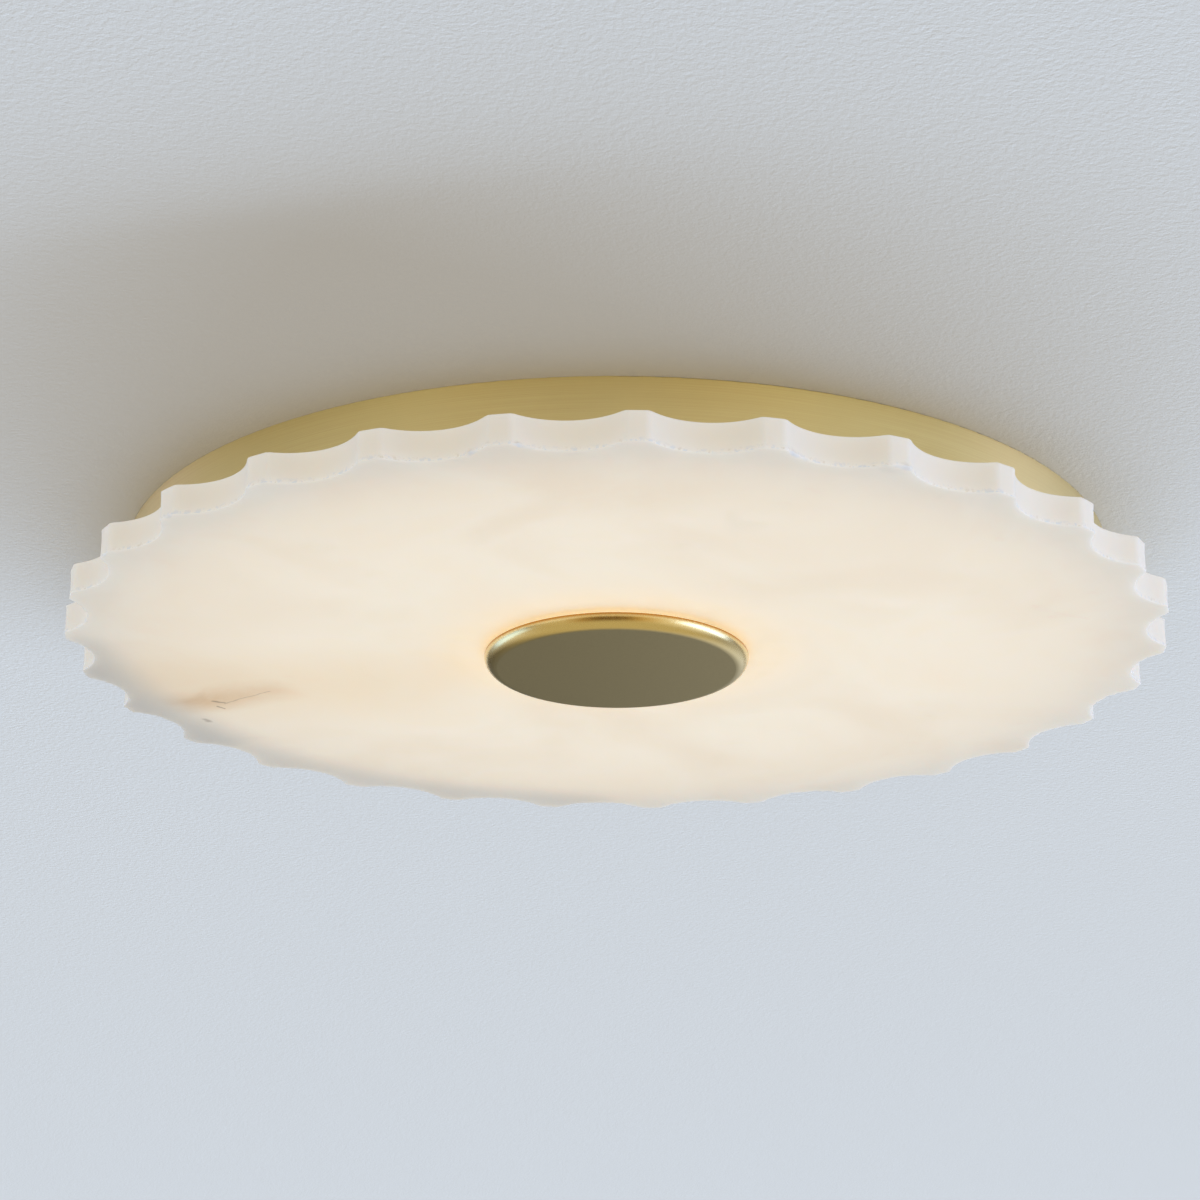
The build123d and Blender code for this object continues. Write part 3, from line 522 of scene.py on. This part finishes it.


# brass: brushed round the pan's wall, satin on the cap's flat, polished on its edge

# the edge tone is a painted reflection, the dark warm band the polished edge mirrors by the stone
brassLook = {"colour": "f0dba2", "deep": "e6ce90", "edge": "b98232", "panColour": "fdf0b6",
             "panDeep": "f4e2a4", "line": 0.35 * mm, "lineLength": 110 * mm, "lineHeight": 0.04 * mm,
             "panRough": (0.38, 0.52), "flatRough": 0.30, "edgeRough": 0.24, "polishFrom": 0.05 * mm,
             "polishTo": 1.2 * mm, "gritGrain": 1.2 * mm, "gritRough": 0.06, "reflectionBandFrom": 2.0 * mm,
             "reflectionBandTo": 0.3 * mm}


def turnedCoords(tree, line, length):  # long round the axis, fine across it; the seam is on the far side
    place = addNode(tree, "ShaderNodeTexCoord").outputs["Object"]
    parts = addNode(tree, "ShaderNodeSeparateXYZ", {"Vector": place}).outputs
    back = addNode(tree, "ShaderNodeMath", {0: parts["Y"], 1: -1.0},
                   operation="MULTIPLY").outputs["Value"]
    angle = addNode(tree, "ShaderNodeMath", {0: parts["X"], 1: back},
                    operation="ARCTAN2").outputs["Value"]
    flat = addNode(tree, "ShaderNodeVectorMath", {0: place, 1: (1, 1, 0)},
                   operation="MULTIPLY").outputs["Vector"]
    radius = addNode(tree, "ShaderNodeVectorMath", {0: flat}, operation="LENGTH").outputs["Value"]
    arc = addNode(tree, "ShaderNodeMath", {0: angle, 1: axisRadius("pan") / length},
                  operation="MULTIPLY").outputs["Value"]
    across = addNode(tree, "ShaderNodeMath", {0: parts["Z"], 1: radius}, operation="ADD").outputs["Value"]
    fine = addNode(tree, "ShaderNodeMath", {0: across, 1: 1 / line},
                   operation="MULTIPLY").outputs["Value"]
    return addNode(tree, "ShaderNodeCombineXYZ", {"X": arc, "Y": fine}).outputs["Vector"]


def brushedBrass():  # spun sheet, brushed round the wall: fine lines, and reflections smear across them
    material, tree, shader = newMaterial("brushedBrass", Metallic=1.0, Roughness=0.45, Anisotropic=0.8,
                                         Anisotropic_Rotation=0.25, Coat_Weight=0.6, Coat_Roughness=0.3)
    around = turnedCoords(tree, brassLook["line"], brassLook["lineLength"])
    lines = addNode(tree, "ShaderNodeTexNoise", {"Vector": around, "Scale": 1.0, "Detail": 3.0,
                    "Roughness": 0.6}).outputs["Fac"]
    sharp = addNode(tree, "ShaderNodeMapRange", {"Value": lines, "From Min": 0.3,
                    "From Max": 0.7}).outputs["Result"]
    tint = addNode(tree, "ShaderNodeMix", {"Factor": sharp, "A": linear(brassLook["panDeep"]),
                   "B": linear(brassLook["panColour"])}, data_type="RGBA")
    tree.links.new(tint.outputs["Result"], shader.inputs["Base Color"])
    rough = addNode(tree, "ShaderNodeMapRange", {"Value": lines, "To Min": brassLook["panRough"][0],
                    "To Max": brassLook["panRough"][1]})
    tree.links.new(rough.outputs["Result"], shader.inputs["Roughness"])
    bump = addNode(tree, "ShaderNodeBump", {"Height": lines, "Strength": 0.1,
                   "Distance": brassLook["lineHeight"]})
    tree.links.new(bump.outputs["Normal"], shader.inputs["Normal"])
    tangent = addNode(tree, "ShaderNodeTangent", direction_type="RADIAL", axis="Z")
    tree.links.new(tangent.outputs["Tangent"], shader.inputs["Tangent"])
    return material


# bead-blasted flat, dull and even; polished edge, with a painted reflection: deeper orange-gold painted
# along its top by the stone
def satinBrass():
    material, tree, shader = newMaterial("satinBrass", Metallic=1.0, Roughness=0.3, Coat_Weight=0.4,
                                         Coat_Roughness=0.2)
    low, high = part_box("cap_shell")
    place = addNode(tree, "ShaderNodeTexCoord").outputs["Object"]
    level = addNode(tree, "ShaderNodeSeparateXYZ", {"Vector": place}).outputs["Z"]
    polished = addNode(tree, "ShaderNodeMapRange", {"Value": level,
                       "From Min": low.z + brassLook["polishFrom"],
                       "From Max": low.z + brassLook["polishTo"], "To Min": brassLook["flatRough"],
                       "To Max": brassLook["edgeRough"]}).outputs["Result"]
    grit = addNode(tree, "ShaderNodeTexNoise", {"Vector": place, "Scale": 1 / brassLook["gritGrain"],
                   "Detail": 2.0}).outputs["Fac"]
    rough = addNode(tree, "ShaderNodeMath", {0: grit, 1: brassLook["gritRough"], 2: polished},
                    operation="MULTIPLY_ADD")
    tree.links.new(rough.outputs["Value"], shader.inputs["Roughness"])
    tint = addNode(tree, "ShaderNodeMix", {"Factor": grit, "A": linear(brassLook["deep"]),
                   "B": linear(brassLook["colour"])}, data_type="RGBA")
    # painted reflection: the top of the edge, by the stone, is painted a deeper orange-brown
    paintedReflectionBand = addNode(tree, "ShaderNodeMapRange", {"Value": level,
                       "From Min": high.z - brassLook["reflectionBandFrom"],
                       "From Max": high.z - brassLook["reflectionBandTo"]},
                       interpolation_type="SMOOTHSTEP").outputs["Result"]
    reflectionTinted = addNode(tree, "ShaderNodeMix", {"Factor": paintedReflectionBand, "A": tint.outputs["Result"],
                        "B": linear(brassLook["edge"])}, data_type="RGBA")
    tree.links.new(reflectionTinted.outputs["Result"], shader.inputs["Base Color"])
    return material


cadNodes["pan"].data.materials[0] = brushedBrass()
cadNodes["cap_shell"].data.materials[0] = satinBrass()
print("brass finished")


# fittings: what shows from above, and what is inside the pan. Grain is in millimetres along x, y and z.

fittings = {
    # zinc plate on pressed steel, blue passivated: cold bright grey with a soft spangle
    "zinc_plated_steel": {"name": "zincPlatedSteel", "light": "d5d8d9", "dark": "aab0b3",
                          "grain": (3.0, 3.0, 3.0), "height": 0.02, "rough": (0.26, 0.44),
                          "shader": {"Metallic": 1.0}},
    # free-cutting brass from the lathe: rings of fine tool marks across the axis
    "turned_brass": {"name": "turnedBrass", "light": "e2c582", "dark": "bf9c58", "grain": (9.0, 9.0, 0.4),
                     "height": 0.04, "rough": (0.24, 0.38), "shader": {"Metallic": 1.0}},
    # aluminium tube, turned and left bare: pale, with the same rings but greyer
    "aluminium_sleeve": {"name": "turnedAluminium", "light": "dfe0e1", "dark": "b9bcbe",
                         "grain": (9.0, 9.0, 0.4), "height": 0.04, "rough": (0.30, 0.46),
                         "shader": {"Metallic": 1.0}},
    # translucent silicone, moulded: milky, soft sheen, a little dust
    "silicone": {"name": "mouldedSilicone", "light": "e9e7e1", "dark": "d3d0c8", "grain": (2.0, 2.0, 2.0),
                 "height": 0.05, "rough": (0.42, 0.60),
                 "shader": {"IOR": 1.41, "Subsurface_Weight": 0.2, "Subsurface_Scale": 2 * mm}},
    # natural nylon, injection moulded: waxy ivory with faint flow clouds
    "nylon": {"name": "mouldedNylon", "light": "e6dfcb", "dark": "d2c8ae", "grain": (5.0, 5.0, 5.0),
              "height": 0.03, "rough": (0.36, 0.50),
              "shader": {"IOR": 1.53, "Subsurface_Weight": 0.12, "Subsurface_Scale": 1.5 * mm}},
    # black rubber, compression moulded: dull, greying where it has been handled
    "black_rubber": {"name": "mouldedRubber", "light": "2c2c2d", "dark": "141415",
                     "grain": (1.2, 1.2, 1.2), "height": 0.06, "rough": (0.55, 0.75),
                     "shader": {"IOR": 1.52}},
    # tinned copper lug, stamped: pale warm grey, smeared by the dip
    "tinned_copper": {"name": "tinnedCopper", "light": "d8d4cb", "dark": "b3aca0",
                      "grain": (1.5, 1.5, 1.5), "height": 0.02, "rough": (0.24, 0.42),
                      "shader": {"Metallic": 1.0}},
    # PVC insulation, extruded: even colour, slight shine, drawn along its length
    "supply_pvc": {"name": "extrudedWhitePvc", "light": "e8e7e2", "dark": "d9d7d0",
                   "grain": (4.0, 1.0, 1.0), "height": 0.02, "rough": (0.36, 0.48),
                   "shader": {"IOR": 1.54}},
    "earth_pvc": {"name": "extrudedEarthPvc", "light": "3f8f3a", "dark": "2f7a2e",
                  "grain": (4.0, 1.0, 1.0), "height": 0.02, "rough": (0.36, 0.48),
                  "shader": {"IOR": 1.54}},
    # polycarbonate box, spark-eroded mould: a fine even stipple
    "white_polycarbonate": {"name": "stippledPolycarbonate", "light": "e9e9e5", "dark": "dcdcd7",
                            "grain": (0.7, 0.7, 0.7), "height": 0.06, "rough": (0.46, 0.60),
                            "shader": {"IOR": 1.58}},
    # glass-epoxy board under green solder mask: glossy, weave just showing
    "circuit_board": {"name": "maskedGlassEpoxy", "light": "2f7446", "dark": "1d5430",
                      "grain": (0.8, 0.8, 0.8), "height": 0.02, "rough": (0.26, 0.38),
                      "shader": {"IOR": 1.54}},
    # powder-coated steel tray: matt white with orange peel
    "white_enamel": {"name": "powderCoatedSteel", "light": "efeeea", "dark": "e6e5e0",
                     "grain": (2.2, 2.2, 2.2), "height": 0.05, "rough": (0.50, 0.62),
                     "shader": {"IOR": 1.5}},
    # white solder mask on aluminium: smoother and cooler than the tray
    "white_board": {"name": "maskedAluminium", "light": "edeeec", "dark": "e0e2e0",
                    "grain": (1.4, 1.4, 1.4), "height": 0.02, "rough": (0.30, 0.42),
                    "shader": {"IOR": 1.5}},
    # phosphor in a white cup: matt yellow, faintly alight
    "led_phosphor": {"name": "ledPhosphor", "light": "f6dc86", "dark": "efc85e", "grain": (0.5, 0.5, 0.5),
                     "height": 0.01, "rough": (0.40, 0.52),
                     "shader": {"IOR": 1.5, "Emission_Strength": 0.5,
                                "Emission_Color": linear("ffdba0")}},
}
earthStripe = {"colour": "e6cf3a", "above": 0.25}  # on faces that look up by more than this


def fittingFinish(look):
    material, tree, shader = newMaterial(look["name"], **look["shader"])
    place = addNode(tree, "ShaderNodeTexCoord").outputs["Object"]
    scaled = addNode(tree, "ShaderNodeVectorMath", {0: place, 1: [1 / (g * mm) for g in look["grain"]]},
                     operation="MULTIPLY").outputs["Vector"]
    grain = addNode(tree, "ShaderNodeTexNoise", {"Vector": scaled, "Scale": 1.0,
                    "Detail": 3.0}).outputs["Fac"]
    spread = addNode(tree, "ShaderNodeMapRange", {"Value": grain, "From Min": 0.3,
                     "From Max": 0.7}).outputs["Result"]
    tint = addNode(tree, "ShaderNodeMix", {"Factor": spread, "A": linear(look["dark"]),
                   "B": linear(look["light"])}, data_type="RGBA").outputs["Result"]
    tree.links.new(tint, shader.inputs["Base Color"])
    rough = addNode(tree, "ShaderNodeMapRange", {"Value": grain, "To Min": look["rough"][0],
                    "To Max": look["rough"][1]}).outputs["Result"]
    tree.links.new(rough, shader.inputs["Roughness"])
    bump = addNode(tree, "ShaderNodeBump", {"Height": grain, "Strength": 0.4,
                   "Distance": look["height"] * mm})
    tree.links.new(bump.outputs["Normal"], shader.inputs["Normal"])
    return material


fittingMaterials = {slot: fittingFinish(look) for slot, look in fittings.items()}
for subpart in frame["record"]["subparts"]:
    if subpart["material_slot"] in fittings:
        cadNodes[subpart["node"]].data.materials[0] = fittingMaterials[subpart["material_slot"]]
earth = fittingMaterials["earth_pvc"].node_tree  # the yellow stripe runs along the lead's upper side
earthTint = earth.nodes["Principled BSDF"].inputs["Base Color"].links[0].from_socket
facesUp = addNode(earth, "ShaderNodeSeparateXYZ",
                  {"Vector": addNode(earth, "ShaderNodeTexCoord").outputs["Normal"]}).outputs["Z"]
stripe = addNode(earth, "ShaderNodeMath", {0: facesUp, 1: earthStripe["above"]},
                 operation="GREATER_THAN").outputs["Value"]
striped = addNode(earth, "ShaderNodeMix", {"Factor": stripe, "A": earthTint,
                  "B": linear(earthStripe["colour"])}, data_type="RGBA")
earth.links.new(striped.outputs["Result"], earth.nodes["Principled BSDF"].inputs["Base Color"])
print("fittings finished")


# soft rings, grommets and the threaded tube, turned about their own axes

softRings = {
    "rim_gasket": {"name": "gasket_ring", "body": "housing", "corner": 0.4 * mm, "columns": 240},
    "upper_pad": {"name": "upper_cushion", "body": "housing", "corner": 0.4 * mm, "columns": 96},
    "lower_pad": {"name": "lower_cushion", "body": "shade", "corner": 0.6 * mm, "columns": 96},
}
grommets = {
    "cable_grommet": {"name": "cable_bush", "sheet": 1.2 * mm, "wall": 2.0 * mm, "edge": 0.8 * mm,
                      "neckEdge": 0.1 * mm, "columns": 64},
    "tray_grommet": {"name": "tray_bush", "sheet": 1.0 * mm, "wall": 1.2 * mm, "edge": 0.6 * mm,
                     "neckEdge": 0.1 * mm, "columns": 64},
}
tube = {"pitch": 1.0 * mm, "depth": 0.55 * mm, "rowsPerPitch": 6, "columns": 48, "lead": 0.8 * mm,
        "flank": 2.4, "endStep": 0.1 * mm}
corner = {"hold": 0.05 * mm, "steps": 4}  # hold keeps the flats flat beside each round


def roundCorners(corners):  # rounds a closed section, each corner by its own radius
    hold, steps = corner["hold"], corner["steps"]
    section = []
    for index, (radius, rise, size) in enumerate(corners):
        here = Vector((radius, rise))
        before = (Vector(corners[index - 1][:2]) - here).normalized()
        after = (Vector(corners[(index + 1) % len(corners)][:2]) - here).normalized()
        halfAngle = before.angle(after) / 2
        reach = size / math.tan(halfAngle)
        centre = here + (before + after).normalized() * (size / math.sin(halfAngle))
        first, last = here + before * reach - centre, here + after * reach - centre
        section.append(centre + first + before * hold)
        for step in range(steps + 1):
            section.append(centre + first.normalized().slerp(last.normalized(), step / steps) * size)
        section.append(centre + last + after * hold)
    return section


def lathe(name, section, centre, columns, material):
    points = []
    for radius, rise in section:
        for column in range(columns):
            angle = 2 * math.pi * column / columns
            points.append((centre.x + radius * math.cos(angle),
                           centre.y + radius * math.sin(angle), rise))
    return addMesh(name, points, closedRows(len(section), columns), material)


def innerRadius(node, centre):
    return min(math.hypot(v.co.x - centre.x, v.co.y - centre.y) for v in cadNodes[node].data.vertices)


for node, ring in softRings.items():
    low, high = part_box(node)
    middle = (low + high) / 2
    inside, outside = innerRadius(node, middle), (high.x - low.x) / 2
    size = ring["corner"]
    section = roundCorners([(inside, low.z, size), (inside, high.z, size), (outside, high.z, size),
                            (outside, low.z, size)])
    piece = lathe(ring["name"], section, middle, ring["columns"], fittingMaterials["silicone"])
    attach(piece, ring["body"])
    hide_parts(node)

for node, rubber in grommets.items():
    low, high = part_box(node)
    middle = (low + high) / 2
    inside, outside = innerRadius(node, middle), (high.x - low.x) / 2
    neck, edge, neckEdge = inside + rubber["wall"], rubber["edge"], rubber["neckEdge"]
    grooveLow, grooveHigh = middle.z - rubber["sheet"] / 2, middle.z + rubber["sheet"] / 2
    section = roundCorners([(inside, low.z, edge), (inside, high.z, edge), (outside, high.z, edge),
                            (outside, grooveHigh, edge / 2), (neck, grooveHigh, neckEdge),
                            (neck, grooveLow, neckEdge), (outside, grooveLow, edge / 2),
                            (outside, low.z, edge)])
    piece = lathe(rubber["name"], section, middle, rubber["columns"], fittingMaterials["black_rubber"])
    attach(piece, "housing")
    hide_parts(node)


def buildTube(material):  # rolled M10 fine thread from end to end, with a short lead at each
    low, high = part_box("support_tube")
    crest = axisRadius("support_tube")
    bore = innerRadius("support_tube", Vector((0, 0)))
    rows = round((high.z - low.z) / tube["pitch"] * tube["rowsPerPitch"])
    threadLevels = [high.z + (low.z - high.z) * row / rows for row in range(rows + 1)]
    levels = [high.z] + threadLevels + [low.z, low.z, high.z]
    points = []
    for index, level in enumerate(levels):
        onThread = 0 < index <= rows + 1
        for column in range(tube["columns"]):
            share = column / tube["columns"]
            phase = (level / tube["pitch"] - share) % 1.0
            groove = tube["depth"] * min(1.0, tube["flank"] * abs(phase - 0.5))
            taper = max(0.0, tube["lead"] - min(high.z - level, level - low.z))
            radius = min(crest - groove, crest - taper) if onThread else bore
            if index in (0, rows + 2):
                radius = crest - tube["lead"] - tube["endStep"]
            angle = 2 * math.pi * share
            points.append((radius * math.cos(angle), radius * math.sin(angle), level))
    piece = addMesh("threaded_tube", points, closedRows(len(levels), tube["columns"]), material)
    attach(piece, "housing")
    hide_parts("support_tube")


buildTube(fittingMaterials["zinc_plated_steel"])
print("soft rings, grommets and tube built")
